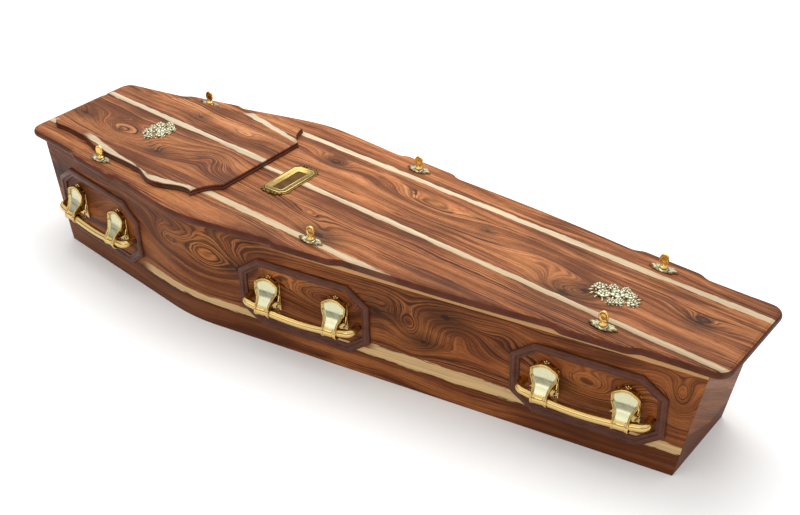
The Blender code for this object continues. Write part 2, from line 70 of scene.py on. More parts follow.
class Finish:
    """A material being made: every call adds a node or two and gives back an output."""

    def __init__(self, name):
        self.material = bpy.data.materials.new(name)
        self.material.use_nodes = True
        self.nodes = self.material.node_tree.nodes
        self.links = self.material.node_tree.links
        self.shader = self.nodes["Principled BSDF"]
        self.place = self.add("TexCoord", {}, "Object")

    def feed(self, socket, value):
        if isinstance(value, bpy.types.NodeSocket):
            self.links.new(value, socket)
        elif isinstance(value, tuple) and len(value) == 3 and socket.type == "RGBA":
            socket.default_value = (*value, 1.0)
        else:
            socket.default_value = value

    def shade(self, **inputs):
        for name, value in inputs.items():
            self.feed(self.shader.inputs[name.replace("_", " ")], value)

    def shown(self):
        """The colour made so far."""
        return self.shader.inputs["Base Color"].links[0].from_socket

    def add(self, kind, inputs, result=0, **settings):
        node = self.nodes.new("ShaderNode" + kind)
        for name, setting in settings.items():
            setattr(node, name, setting)
        for name, value in inputs.items():
            self.feed(node.inputs[name], value)
        return node.outputs[result]

    def calc(self, operation, *values):
        return self.add("Math", dict(enumerate(values)), operation=operation)

    def times(self, a, b):
        return self.calc("MULTIPLY", a, b)

    def times_plus(self, a, b, c):
        return self.calc("MULTIPLY_ADD", a, b, c)

    def minus(self, a, b):
        return self.calc("SUBTRACT", a, b)

    def larger(self, a, b):
        return self.calc("MAXIMUM", a, b)

    def reach(self, direction):
        """How far a point lies along a direction."""
        return self.add("VectorMath", {0: self.place, 1: direction}, "Value", operation="DOT_PRODUCT")

    def spot(self, x, y, z=0.0):
        return self.add("CombineXYZ", {0: x, 1: y, 2: z})

    def cloud(self, vector, scale=1.0, detail=2.0, roughness=0.5):
        inputs = {"Vector": vector, "Scale": scale, "Detail": detail, "Roughness": roughness}
        return self.add("TexNoise", inputs, "Fac")

    def brushed(self, along, along_pitch, across, across_pitch):
        """Fine noise drawn out one way, with its number of cells a metre each way."""
        x = self.times(self.reach(along), along_pitch)
        y = self.times(self.reach(across), across_pitch)
        return self.cloud(self.spot(x, y))

    def between(self, value, low, high, start=0.0, end=1.0):
        """Goes smoothly from start to end while the value goes from low to high."""
        inputs = {"Value": value, "From Min": low, "From Max": high, "To Min": start, "To Max": end}
        return self.add("MapRange", inputs, interpolation_type="SMOOTHSTEP")

    def falling(self, value, low, high, start=1.0):
        return self.between(value, low, high, start, 0.0)

    def tone(self, value, stops):
        node = self.nodes.new("ShaderNodeValToRGB")
        band = node.color_ramp
        while len(band.elements) < len(stops):
            band.elements.new(0.5)
        for element, (position, colour) in zip(band.elements, stops):
            element.position = position
            element.color = (*colour, 1.0)
        self.feed(node.inputs[0], value)
        return node.outputs[0]

    def over(self, amount, under, top, mode="MIX"):
        return self.add("Mix", {0: amount, 6: under, 7: top}, 2, data_type="RGBA", blend_type=mode)

    def relief(self, height, depth, strength=1.0):
        return self.add("Bump", {"Strength": strength, "Distance": depth, "Height": height})


class Grain(Finish):
    """A wood finish with a grain direction: u runs along the grain and v across it."""

    def __init__(self, name, along, across, seed):
        super().__init__(name)
        self.u = self.reach(along)
        self.v = self.reach(across)
        self.seed = seed

    def drawn(self, across, along_pitch, across_pitch, shift=0.0, detail=2.0, roughness=0.5):
        """Noise drawn out along the grain, with its number of cells a metre each way."""
        x = self.times(self.u, along_pitch)
        y = self.times(across, across_pitch)
        return self.cloud(self.spot(x, y, self.seed + shift), 1.0, detail, roughness)

    def far_from(self, u, v, reach_u, reach_v):
        """Squared distance from a spot, in its own reaches."""
        a = self.calc("DIVIDE", self.minus(self.u, u), reach_u)
        b = self.calc("DIVIDE", self.minus(self.v, v), reach_v)
        return self.times_plus(a, a, self.times(b, b))

    def fade(self, distance, rate=1.0):
        return self.calc("EXPONENT", self.times(distance, -rate))

    def stretch(self, start, end, ease_in):
        """One between two places along the grain, eased in and out."""
        rise = self.between(self.u, start, start + ease_in)
        return self.times(rise, self.falling(self.u, end - ease_in, end))

    def ragged(self):
        return self.minus(self.drawn(self.v, 22.0, 210.0, 2.5, 4.0, 0.6), 0.5)


def bend_rings(mat, figure, eyes, knots):
    """Where a ring lies across the grain, bent round eyes and knots, and how near an eye or a heart is."""
    sway = mat.minus(mat.drawn(mat.v, 1.5, 5.0), 0.5)
    flow = mat.times_plus(sway, 0.085 * figure, mat.v)
    ripple = mat.minus(mat.drawn(mat.v, 9.0, 24.0, 2.0), 0.5)
    flow = mat.times_plus(ripple, 0.0095 * figure, flow)
    near_eye = 0.0
    for eye_u, eye_v, reach_u, reach_v, lift in eyes:
        bump = mat.fade(mat.far_from(eye_u, eye_v, reach_u, reach_v))
        flow = mat.times_plus(bump, lift, flow)
        near_eye = mat.larger(near_eye, bump)
    heart = 0.0
    for knot_u, knot_v, size in knots:
        away = mat.far_from(knot_u, knot_v, size * 1.8, size)
        flow = mat.times_plus(mat.fade(away, 0.35), size * 1.4, flow)
        jagged = mat.times_plus(mat.drawn(mat.v, 45.0, 130.0, 7.0, 3.0), 1.3, mat.calc("SQRT", away))
        tail = mat.far_from(knot_u, knot_v, size * 4.5, size * 0.42)
        spot = mat.larger(mat.falling(jagged, 0.95, 1.75), mat.falling(tail, 0.2, 1.3, 0.75))
        heart = mat.larger(heart, mat.larger(spot, mat.falling(jagged, 1.2, 5.0, 0.6)))
    return flow, near_eye, heart


def paint_rings(mat, flow, near_eye):
    """Flames and hair lines, then single growth rings, strongest round the eyes, and pores.

    Gives the colour, the streaks that set the gloss and the height of the surface.
    """
    streak = mat.drawn(flow, 1.1, 42.0, 3.1, 9.0, 0.66)
    fibre = mat.drawn(flow, 6.0, 360.0, 6.0, 4.0, 0.7)
    mixed = mat.times_plus(streak, 0.72, mat.times(fibre, 0.28))
    colour = mat.tone(mixed, ((0.37, DARK_HEART), (0.45, RED_HEART), (0.51, PALE_HEART), (0.61, LIGHT_HEART)))
    patch = mat.drawn(mat.v, 2.8, 9.0, 8.0, 3.0)
    colour = mat.over(mat.between(patch, 0.5, 0.66, 0.0, 0.55), colour, WARM_PATCH)
    colour = mat.over(mat.falling(patch, 0.32, 0.48, 0.65), colour, DULL_PATCH)
    uneven = mat.cloud(mat.spot(mat.times(flow, 70.0), mat.seed + 9.0), 1.0, 3.0)
    phase = mat.times_plus(uneven, 5.0, mat.times(mat.drawn(mat.v, 8.0, 40.0, 1.0), 0.8))
    for pitch, strength, shift in ((BROAD_RING, 0.95, 4.0), (FINE_RING, 0.7, 0.0)):
        ring = mat.calc("FRACT", mat.times_plus(flow, 1 / pitch, phase))
        line = mat.times(mat.between(ring, 0.35, 0.85), mat.falling(ring, 0.92, 1.0))
        patchy = mat.between(mat.drawn(flow, 2.2, 38.0, shift), 0.4, 0.6, 0.1, strength)
        patchy = mat.larger(patchy, mat.times(near_eye, strength * 0.85))
        colour = mat.over(mat.times(line, patchy), colour, RING_LINE)
    flame = mat.between(mat.drawn(flow, 1.7, 30.0, 5.5, 4.0, 0.62), 0.56, 0.68, 0.0, 0.85)
    colour = mat.over(flame, colour, DARK_HEART)
    pores = mat.between(mat.drawn(mat.v, 34.0, 900.0, 1.0, 2.0), 0.55, 0.68, 0.0, 0.62)
    return mat.over(pores, colour, RING_LINE), streak, mat.minus(fibre, pores)


def paint_strip(mat, colour, top, bare_from, bare_to):
    """The darker board below the lowest glue line, but for a bare stretch, and the line itself."""
    below = mat.falling(mat.v, top - 0.0008, top + 0.0008)
    bare = mat.stretch(bare_from - 0.05, bare_to + 0.05, 0.1)
    colour = mat.over(mat.times(below, mat.times_plus(bare, -0.62, 0.62)), colour, DARK_HEART)
    off_joint = mat.calc("ABSOLUTE", mat.minus(mat.v, top))
    return mat.over(mat.falling(off_joint, 0.0005, 0.0016, 0.7), colour, RING_LINE)


def paint_sapwood(mat, colour, sap, sapwood):
    """Pale streaks along the glue lines, which wander, swell and end in a taper."""
    waver = mat.minus(mat.cloud(mat.spot(mat.times(mat.u, 2.4), mat.seed)), 0.5)
    ragged = mat.ragged()
    soft = mat.between(mat.drawn(mat.v, 9.0, 420.0, 4.5, 3.0), 0.28, 0.7, 0.78, 1.1)
    pale = mat.over(1.0, sapwood, mat.spot(soft, soft, soft), "MULTIPLY")
    for at, slope, half, start, end in sap:
        middle = mat.times_plus(waver, half * 0.9, mat.times_plus(mat.u, slope, at))
        off = mat.calc("ABSOLUTE", mat.minus(mat.v, middle))
        off = mat.times_plus(ragged, half * 1.3, off)
        swell = mat.cloud(mat.spot(mat.times(mat.u, 4.2), at * 40.0, mat.seed))
        wide = mat.times_plus(swell, half * 1.3, half * 0.3)
        band = mat.falling(mat.minus(off, wide), -0.0016, 0.0012, 0.95)
        taper = min(0.05, (end - start) / 2)
        colour = mat.over(mat.times(band, mat.stretch(start, end, taper)), colour, pale)
    return colour


def timber(name, along, across, seed, sap=(), eyes=(), knots=(), depth=None, grey=0.0, tan=None, strip=None,
           sapwood=SAPWOOD, figure=1.0, planks=None):
    """Figured hardwood with its rings bent round eyes and knots.

    sap: streaks as (v at u = 0, slope, half width, from u, to u). eyes: (u, v, reach, reach, lift).
    knots: (u, v, size). tan: (low edge, from u). strip: (top edge, bare from u, bare to u).
    planks: (v, tone), where the wood below v is multiplied by the tone.
    """
    mat = Grain(name, along, across, seed)
    flow, near_eye, heart = bend_rings(mat, figure, eyes, knots)
    colour, streak, surface = paint_rings(mat, flow, near_eye)
    if knots:
        colour = mat.over(mat.times(heart, 0.9), colour, KNOT_HEART)
    if grey:
        colour = mat.over(grey, colour, END_GREY)
    if strip:
        colour = paint_strip(mat, colour, *strip)
    if sap:
        colour = paint_sapwood(mat, colour, sap, sapwood)
    # The pale band under the lid: pale wood with painted light on the side's top edge.
    if tan:
        low_edge, start = tan
        rim = mat.times_plus(mat.ragged(), 0.0016, mat.v)
        amount = mat.times(mat.between(rim, low_edge - 0.0004, low_edge + 0.001),
                           mat.between(mat.u, start - 0.25, start))
        colour = mat.over(mat.times(amount, 0.92), colour, LIT_TAN_EDGE)
    if planks:
        joint, tone = planks
        colour = mat.over(mat.falling(mat.v, joint - 0.004, joint + 0.004), colour, tone, "MULTIPLY")
    # Painted light and shade: the whole colour is multiplied by a tone per board, lifted on the lid that
    # faces the light and darkened on the upright sides and ends.
    if depth:
        colour = mat.over(1.0, colour, depth, "MULTIPLY")
    mat.shade(Base_Color=colour, Roughness=mat.times_plus(streak, 0.12, 0.38), Specular_IOR_Level=0.1,
              Normal=mat.relief(surface, 0.0004, 0.35))
    return mat


def dress_board(node, finish, edge=BOARD_EDGE):
    """Gives a board of the model its finish, and eases its edges."""
    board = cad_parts[node]
    board.data.materials.clear()
    board.data.materials.append(finish.material)
    rounding = board.modifiers.new("worn edge", "BEVEL")
    rounding.width = edge
    rounding.segments = 2
    rounding.limit_method = "ANGLE"
    rounding.angle_limit = math.radians(40)


UP = (0, 0, 1)
# The sides and the head end are darkened by the side tone, painted shade.
near_wood = timber(
    "near side wood", (1, 0, 0), UP, 2.0, depth=SIDE_PAINTED_SHADE, sapwood=SIDE_SAPWOOD, tan=(0.2805, 0.08),
    strip=(0.062, -0.08, 0.53), sap=((0.0735, 0.0, 0.0115, -0.56, 0.96), (0.086, -0.016, 0.016, 0.14, 0.66)),
    eyes=((-0.29, 0.18, 0.16, 0.07, 0.115), (-0.44, 0.205, 0.06, 0.035, 0.05),
          (0.055, 0.16, 0.14, 0.06, 0.095), (0.27, 0.175, 0.05, 0.06, 0.085),
          (0.394, 0.205, 0.07, 0.045, -0.06), (0.503, 0.235, 0.05, 0.03, -0.035),
          (0.7, 0.16, 0.12, 0.05, 0.075), (0.905, 0.2, 0.035, 0.055, 0.06),
          (-0.85, 0.16, 0.06, 0.055, 0.07), (-0.65, 0.175, 0.06, 0.05, -0.06)),
    knots=((-0.2, 0.197, 0.011), (0.185, 0.2, 0.015), (0.357, 0.238, 0.014), (0.3, 0.15, 0.009),
           (0.628, 0.16, 0.009), (-0.905, 0.213, 0.012), (-0.56, 0.12, 0.01)))
far_wood = timber(
    "far side wood", (-1, 0, 0), UP, 11.0, depth=SIDE_PAINTED_SHADE, sapwood=SIDE_SAPWOOD, tan=(0.2805, -0.3),
    strip=(0.062, -0.3, 0.35), sap=((0.0735, 0.0, 0.0105, -0.8, 0.7),),
    eyes=((0.25, 0.17, 0.15, 0.07, 0.06), (-0.35, 0.19, 0.12, 0.06, 0.05),
          (-0.74, 0.15, 0.1, 0.06, -0.045)),
    knots=((-0.15, 0.205, 0.012), (0.52, 0.12, 0.01)))
# The foot end's colour is multiplied by a darker tone, painted shade on the upright end.
foot_wood = timber("foot end wood", (0, 0.84, -0.54), (0, 0.54, 0.84), 21.0, grey=0.4, figure=0.6,
                   depth=(0.58, 0.5, 0.42), sapwood=(0.52, 0.27, 0.17), sap=((0.15, 0.0, 0.009, -0.4, 0.3),))
head_wood = timber("head end wood", (0, 1, 0), UP, 27.0, depth=SIDE_PAINTED_SHADE, strip=(0.062, 1.0, 1.1),
                   eyes=((0.02, 0.18, 0.12, 0.06, 0.05),))
base_wood = timber("base wood", (1, 0, 0), (0, 1, 0), 33.0, figure=0.6)
foot_low = foot_wood.larger(foot_wood.falling(foot_wood.reach(UP), 0.05, 0.053, 0.72),
                            foot_wood.falling(foot_wood.reach((0, 0.45, 1)), 0.06, 0.063, 0.72))
foot_wood.shade(Base_Color=foot_wood.over(foot_low, foot_wood.shown(), DARK_HEART), Specular_IOR_Level=0.02)
for node, finish in (("side_board_near", near_wood), ("side_board_far", far_wood), ("base_board", base_wood),
                     ("end_board_foot", foot_wood), ("end_board_head", head_wood)):
    dress_board(node, finish)


# The lid: one board of the same timber, its long edges drawn out in tabs by the screws and hollowed between
# them. The edge is turned to a bullnose with a fine quirk on top and stained a dark purple brown.
LID_LENGTH = 2.0
HEAD_WIDTH = 0.366
SHOULDER_WIDTH = 0.608
FOOT_WIDTH = 0.304
SHOULDER_X = -0.361
SHOULDER_REACH = 0.075
LID_CORNER_R = 0.036
LID_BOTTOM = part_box("lid_board")[0].z
LID_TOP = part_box("lid_board")[1].z
TABS = (-0.712, 0.0, 0.715)
TAB_HALF = 0.086
TAB_RISE = 0.005
BOW = 0.007
STEP = 0.034
EDGE_STEPS = 240
HEAD_SLOPE = (SHOULDER_WIDTH - HEAD_WIDTH) / 2 / (SHOULDER_X + LID_LENGTH / 2)
FOOT_SLOPE = (FOOT_WIDTH - SHOULDER_WIDTH) / 2 / (LID_LENGTH / 2 - SHOULDER_X)
BULLNOSE = 0.008
LID_QUIRK = 0.01
EDGE_STAIN = (0.062, 0.016, 0.008)


def ease(t):
    t = min(max(t, 0.0), 1.0)
    return t * t * (3 - 2 * t)


def half_width(x, inset=0.0):
    """Half width of the coffin's plan at x, moved in by inset, with the shoulder rounded."""
    half = SHOULDER_WIDTH / 2
    head = half + HEAD_SLOPE * (x - SHOULDER_X) - inset * math.hypot(1, HEAD_SLOPE)
    foot = half + FOOT_SLOPE * (x - SHOULDER_X) - inset * math.hypot(1, FOOT_SLOPE)
    if x <= SHOULDER_X - SHOULDER_REACH:
        return head
    if x >= SHOULDER_X + SHOULDER_REACH:
        return foot
    start = x - (SHOULDER_X - SHOULDER_REACH)
    slack = inset * (math.hypot(1, HEAD_SLOPE) - math.hypot(1, FOOT_SLOPE)) * start / (2 * SHOULDER_REACH)
    return head + (FOOT_SLOPE - HEAD_SLOPE) * start ** 2 / (4 * SHOULDER_REACH) + slack


def edge_shift(x):
    """How far the lid's edge stands out at a tab or back between tabs."""
    end = LID_LENGTH / 2
    bounds = [-end] + [c + s * TAB_HALF for c in TABS for s in (-1, 1)] + [end]
    low = max(b for b in bounds if b <= x)
    high = min(b for b in bounds if b >= x)
    share = (x - low) / max(high - low, 1e-6)
    if low == -end:
        bow = -BOW * share
    elif high == end:
        bow = -BOW * (1 - share)
    else:
        bow = -BOW * (1 - math.sin(math.pi * share))
    outer = min(abs(x - c) for c in TABS) - TAB_HALF
    if outer <= 0:
        bow = -BOW
    blend = ease(0.5 + outer / STEP)
    return TAB_RISE * (1 - blend) + bow * blend


def corner(end, slope, width):
    """The rounded corner of the lid at one end: points from the end edge round to the long edge."""
    side = math.copysign(1, end)
    r = LID_CORNER_R
    across = width / 2 - side * slope * r - r * math.hypot(1, slope)
    sweep = (math.pi / 2 + side * math.atan(slope)) / 10
    return [Vector((end - side * r * (1 - math.cos(sweep * i)), across + r * math.sin(sweep * i)))
            for i in range(11)]


def lid_outline():
    head = corner(-LID_LENGTH / 2, HEAD_SLOPE, HEAD_WIDTH)
    foot = corner(LID_LENGTH / 2, FOOT_SLOPE, FOOT_WIDTH)
    low, high = head[-1].x, foot[-1].x
    long_edge = []
    for i in range(1, EDGE_STEPS):
        x = low + (high - low) * i / EDGE_STEPS
        fade = min(1.0, (x - low) / 0.05, (high - x) / 0.05)
        long_edge.append(Vector((x, half_width(x) + edge_shift(x) * fade)))
    return head + long_edge + list(reversed(foot))


def make_piece(name, verts, faces, finish, sharp=38):
    mesh = bpy.data.meshes.new(name)
    mesh.from_pydata([tuple(v) for v in verts], [], faces)
    mesh.materials.append(finish.material)
    corners = [[mesh.vertices[i].co for i in face.vertices] for face in mesh.polygons]
    if sum(c[0].dot(a.cross(b)) for c in corners for a, b in zip(c[1:-1], c[2:])) < 0:
        mesh.flip_normals()
    mesh.shade_smooth()
    mesh.set_sharp_from_angle(angle=math.radians(sharp))
    piece = bpy.data.objects.new(name, mesh)
    bpy.context.scene.collection.objects.link(piece)
    return piece


def settle(piece, node, where=Matrix()):
    """Puts a piece in its place on the model, as the look of one of its nodes."""
    piece.matrix_world = where
    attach(piece, "root")
    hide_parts(node)


def flat_board(name, half, levels, finish):
    """A board alike on both sides of its middle, from half its outline and (inset, height) going up."""
    normals = [Vector((-1, 0))]
    for before, here, after in zip(half, half[1:], half[2:]):
        along = (after - here).normalized() + (here - before).normalized()
        normals.append(Vector((-along.y, along.x)).normalized())
    normals.append(Vector((1, 0)))
    count = len(half)
    verts, faces = [], []
    for inset, z in levels:
        moved = [p - n * inset for p, n in zip(half, normals)]
        verts += [(p.x, -p.y, z) for p in moved] + [(p.x, p.y, z) for p in moved]
    top = (len(levels) - 1) * 2 * count
    for i in range(count - 1):
        faces.append((i, i + count, i + count + 1, i + 1))
        faces.append((top + i, top + i + 1, top + i + count + 1, top + i + count))
    for k in range(len(levels) - 1):
        low, high = k * 2 * count, (k + 1) * 2 * count
        for i in range(count - 1):
            faces.append((low + i, low + i + 1, high + i + 1, high + i))
            faces.append((low + count + i + 1, low + count + i, high + count + i, high + count + i + 1))
        faces.append((low + count, low, high, high + count))
        faces.append((low + count - 1, low + 2 * count - 1, high + 2 * count - 1, high + count - 1))
    return make_piece(name, verts, faces, finish)


GRAIN_TURN = math.radians(-6.5)
LID_ALONG = (math.cos(GRAIN_TURN), math.sin(GRAIN_TURN), 0)
LID_ACROSS = (-math.sin(GRAIN_TURN), math.cos(GRAIN_TURN), 0)
CENTRE_JOINT = -0.0268


def on_grain(*spots):
    """Spots that begin with a place on the lid, with that place turned to run along and across its grain."""
    return [(x * LID_ALONG[0] + y * LID_ALONG[1], x * LID_ACROSS[0] + y * LID_ACROSS[1], *more)
            for x, y, *more in spots]


def stain_edge(finish, top):
    """Stains the moulded edge below a board's top face, a little unevenly."""
    grime = finish.cloud(finish.place, 14.0, 3.0)
    under = finish.falling(finish.times_plus(grime, 0.0001, finish.reach(UP)), top - 0.0016, top - 0.0012)
    streaky = finish.over(finish.between(grime, 0.3, 0.8), EDGE_STAIN, tuple(c * 2.0 for c in EDGE_STAIN))
    finish.shade(Base_Color=finish.over(finish.times(under, 0.94), finish.shown(), streaky),
                 Specular_IOR_Level=0.11)


# The lid's colour is lifted by a tone above one, painted light on the top that faces the light.
lid_wood = timber(
    "lid wood", LID_ALONG, LID_ACROSS, 5.0, depth=(1.16, 1.1, 0.98),
    planks=(CENTRE_JOINT, (0.82, 0.78, 0.73)),
    sap=((CENTRE_JOINT, 0.0, 0.0088, -1.1, 1.1), (0.1797, 0.0174, 0.0098, -0.46, 1.1),
         (-0.2165, 0.0064, 0.0115, -1.1, 0.3)),
    eyes=on_grain((0.11, 0.078, 0.17, 0.036, 0.06), (-0.207, 0.132, 0.08, 0.026, 0.036),
                  (-0.12, -0.125, 0.12, 0.03, 0.026), (0.5, 0.03, 0.14, 0.032, -0.036),
                  (0.6, -0.055, 0.08, 0.03, 0.04), (-0.02, -0.17, 0.07, 0.03, 0.04),
                  (0.87, 0.0, 0.07, 0.022, 0.03)),
    knots=on_grain((0.576, -0.073, 0.021), (0.612, -0.036, 0.012), (-0.01, -0.187, 0.015),
                   (-0.207, 0.132, 0.011), (0.87, -0.007, 0.009), (0.3, 0.06, 0.006)))
darker_foot = lid_wood.between(lid_wood.u, 0.1, 0.85)
lid_wood.shade(Base_Color=lid_wood.over(darker_foot, lid_wood.shown(), (0.78, 0.74, 0.7), "MULTIPLY"))
stain_edge(lid_wood, LID_TOP)
thick = LID_TOP - LID_BOTTOM
lid_levels = [(LID_QUIRK, LID_BOTTOM)]
for i in range(11):
    turn = math.pi * (i / 10 - 0.5) * 0.97
    lid_levels.append((BULLNOSE * (1 - math.cos(turn)), LID_BOTTOM + thick / 2 * (1 + math.sin(turn))))
lid_levels += [(0.0086, LID_TOP - 0.0009), (0.0092, LID_TOP - 0.0001), (LID_QUIRK, LID_TOP)]
lid = flat_board("coffin_lid", lid_outline(), lid_levels, lid_wood)
settle(lid, "lid_board")


# The raised head panel: a thinner board planted on the head half of the lid, with a canted head corner,
# steps that clear the screws, a curl at the shoulder and hollow ends. Its edge is moulded and stained dark.
PANEL_HEAD_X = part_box("head_panel")[0].x
PANEL_FOOT_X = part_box("head_panel")[1].x
PANEL_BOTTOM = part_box("head_panel")[0].z
PANEL_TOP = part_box("head_panel")[1].z
PANEL_FOOT_WIDTH = 0.292


def panel_outline():
    span = PANEL_FOOT_X - PANEL_HEAD_X

    def at(share, margin):
        x = PANEL_HEAD_X + share * span
        return Vector((x, half_width(x) - margin))

    canted = ((0.0, 0.077), (0.014, 0.063), (0.045, 0.053), (0.08, 0.0575), (0.115, 0.061), (0.16, 0.062))
    points = [at(share, margin) for share, margin in canted]
    steps = ((0.205, 0.062, 0.37, 0.05), (0.605, 0.059, 0.735, 0.044))
    for low, low_margin, high, high_margin in steps:
        a, b = at(low, low_margin), at(high, high_margin)
        points += [Vector((a.x + (b.x - a.x) * i / 14, a.y + (b.y - a.y) * ease(i / 14))) for i in range(15)]
        if low == steps[0][0]:
            points += [at(0.37 + 0.235 * i / 8, 0.05 + 0.009 * ease(i / 8)) for i in range(1, 8)]
    curl, tip = at(0.75, 0.044), at(0.93, 0.078)
    for i in range(17):
        t = i / 16
        dip = 0.016 * t * math.sin(math.pi * t ** 1.1)
        points.append(Vector((curl.x + (tip.x - curl.x) * t, curl.y + (tip.y - curl.y) * ease(t) - dip)))
    foot = Vector((PANEL_FOOT_X, PANEL_FOOT_WIDTH / 2))
    for i in range(2, 11):
        hollow = 0.008 * math.sin(math.pi * i / 12)
        points.append(tip.lerp(foot, i / 12) - Vector((hollow, hollow * 0.6)))
    return points + [foot]


# The panel's colour is lifted a little, painted light on its top.
panel_wood = timber(
    "panel wood", LID_ALONG, LID_ACROSS, 9.0, depth=(1.04, 1.0, 0.92),
    planks=(CENTRE_JOINT, (0.9, 0.87, 0.84)),
    sap=((CENTRE_JOINT, 0.0, 0.01, -1.1, 1.1), (0.0498, -0.156, 0.009, -0.61, -0.34),
         (-0.3686, -0.169, 0.011, -0.82, -0.47), (-0.1672, 0.232, 0.013, -0.53, -0.33),
         (-0.2309, 0.0, 0.006, -0.98, -0.92)),
    eyes=on_grain((-0.771, -0.072, 0.12, 0.052, 0.098), (-0.456, -0.05, 0.065, 0.055, -0.05),
                  (-0.64, -0.105, 0.085, 0.03, 0.03), (-0.48, 0.095, 0.05, 0.018, 0.02)),
    knots=on_grain((-0.771, -0.072, 0.005), (-0.925, -0.048, 0.012), (-0.65, 0.11, 0.009),
                   (-0.6, -0.11, 0.008)))
stain_edge(panel_wood, PANEL_TOP)
PANEL_PROFILE = ((0, 0), (0, 0.3), (0.0008, 0.34), (0.0026, 0.42), (0.0028, 0.5), (0.0016, 0.58),
                 (0.001, 0.68), (0.0012, 0.8), (0.0022, 0.9), (0.0034, 0.97), (0.0048, 1.0))
panel_levels = [(inset, PANEL_BOTTOM + (PANEL_TOP - PANEL_BOTTOM) * share) for inset, share in PANEL_PROFILE]
panel = flat_board("raised_head_panel", panel_outline(), panel_levels, panel_wood)
settle(panel, "head_panel")


# Handle frames: eight-sided mouldings of dark stained wood with a rounded outer lip and a hollow inner slope,
# mitred at each corner and pinned flat to the sides.
HANDLES = (("head", -0.722), ("shoulder", -0.018), ("foot", 0.697))
SIDE_INSET = 0.019
SIDE_LEAN = 0.0155
BODY_HEIGHT = 0.297
GAP = 0.0003
FRAME_LENGTH = 0.362
FRAME_HEIGHT = 0.19
FRAME_MID_Z = 0.15
FRAME_CUT_LONG = 0.057
FRAME_CUT_HIGH = 0.043
FRAME_WIDTH = 0.022
FRAME_THICK = 0.009
FRAME_PROFILE = ((0.0, 0.0), (0.0, 0.45), (0.04, 0.66), (0.12, 0.82), (0.2, 0.87), (0.22, 0.8),
                 (0.25, 0.84), (0.34, 0.97), (0.45, 1.0), (0.56, 0.95), (0.64, 0.8), (0.68, 0.62),
                 (0.74, 0.52), (0.84, 0.46), (0.92, 0.42), (0.98, 0.36), (1.0, 0.28), (1.0, 0.0))


def wall_axes(x, side):
    """Axes on the outside of a long side: along it, out of it and up it, from the floor line."""
    slope = HEAD_SLOPE if x < SHOULDER_X else FOOT_SLOPE
    foot = Vector((x, side * half_width(x, SIDE_INSET + SIDE_LEAN), 0))
    top = Vector((x, side * half_width(x, SIDE_INSET), BODY_HEIGHT))
    along = Vector((side, slope, 0)).normalized()
    out = (top - foot).cross(along).normalized()
    matrix = Matrix((along, out, along.cross(out))).transposed().to_4x4()
    matrix.translation = foot
    return matrix


def closed_rings(rings, loop=False):
    """Verts and faces of a skin over rings of equal length, capped at both ends or joined in a loop."""
    size = len(rings[0])
    verts = [v for ring in rings for v in ring]
    faces = []
    if not loop:
        faces += [tuple(reversed(range(size))), tuple(range(len(verts) - size, len(verts)))]
    for k in range(len(rings) if loop else len(rings) - 1):
        m = (k + 1) % len(rings)
        for i in range(size):
            j = (i + 1) % size
            faces.append((k * size + i, k * size + j, m * size + j, m * size + i))
    return verts, faces


def octagon(length, height, cut_long, cut_high):
    """The eight corners, in order, of a rectangle about the middle with its own corners cut off."""
    corners = []
    for su, sv in ((1, 1), (-1, 1), (-1, -1), (1, -1)):
        on_end = Vector((su * length / 2, sv * (height / 2 - cut_high)))
        on_side = Vector((su * (length / 2 - cut_long), sv * height / 2))
        corners += [on_end, on_side] if su == sv else [on_side, on_end]
    return corners


def frame_moulding():
    """The profile swept round an octagon, with a mitre at each corner."""
    corners = octagon(FRAME_LENGTH, FRAME_HEIGHT, FRAME_CUT_LONG, FRAME_CUT_HIGH)
    rings = []
    for i, here in enumerate(corners):
        before = (here - corners[i - 1]).normalized()
        after = (corners[(i + 1) % 8] - here).normalized()
        inward = Vector((-before.y - after.y, before.x + after.x)).normalized()
        inward /= inward.dot(Vector((-before.y, before.x)))
        ring = []
        for share, out in FRAME_PROFILE:
            p = here + inward * share * FRAME_WIDTH
            ring.append((p.x, GAP + out * (FRAME_THICK - GAP), FRAME_MID_Z + p.y))
        rings.append(ring)
    return closed_rings(rings, loop=True)


frame_finish = Finish("dark moulding stain")
cloud = frame_finish.cloud(frame_finish.place, 30.0, 4.0)
fine = frame_finish.brushed((1, 0, 0), 40.0, UP, 400.0)
streaks = frame_finish.between(fine, 0.35, 0.7, 0.0, 0.4)
frame_colour = frame_finish.tone(cloud, ((0.3, (0.06, 0.017, 0.009)), (0.7, (0.115, 0.034, 0.018))))
frame_colour = frame_finish.over(streaks, frame_colour, (0.17, 0.06, 0.03))
frame_finish.shade(Base_Color=frame_colour, Roughness=0.32, Specular_IOR_Level=0.2,
                   Normal=frame_finish.relief(fine, 0.0003, 0.3))
SIDES = ((-1, "near"), (1, "far"))
for place, x in HANDLES:
    for side, side_name in SIDES:
        moulding = make_piece(f"moulding_{place}_{side_name}", *frame_moulding(), frame_finish, sharp=28)
        settle(moulding, f"handle_frame_{place}_{side_name}", wall_axes(x, side))


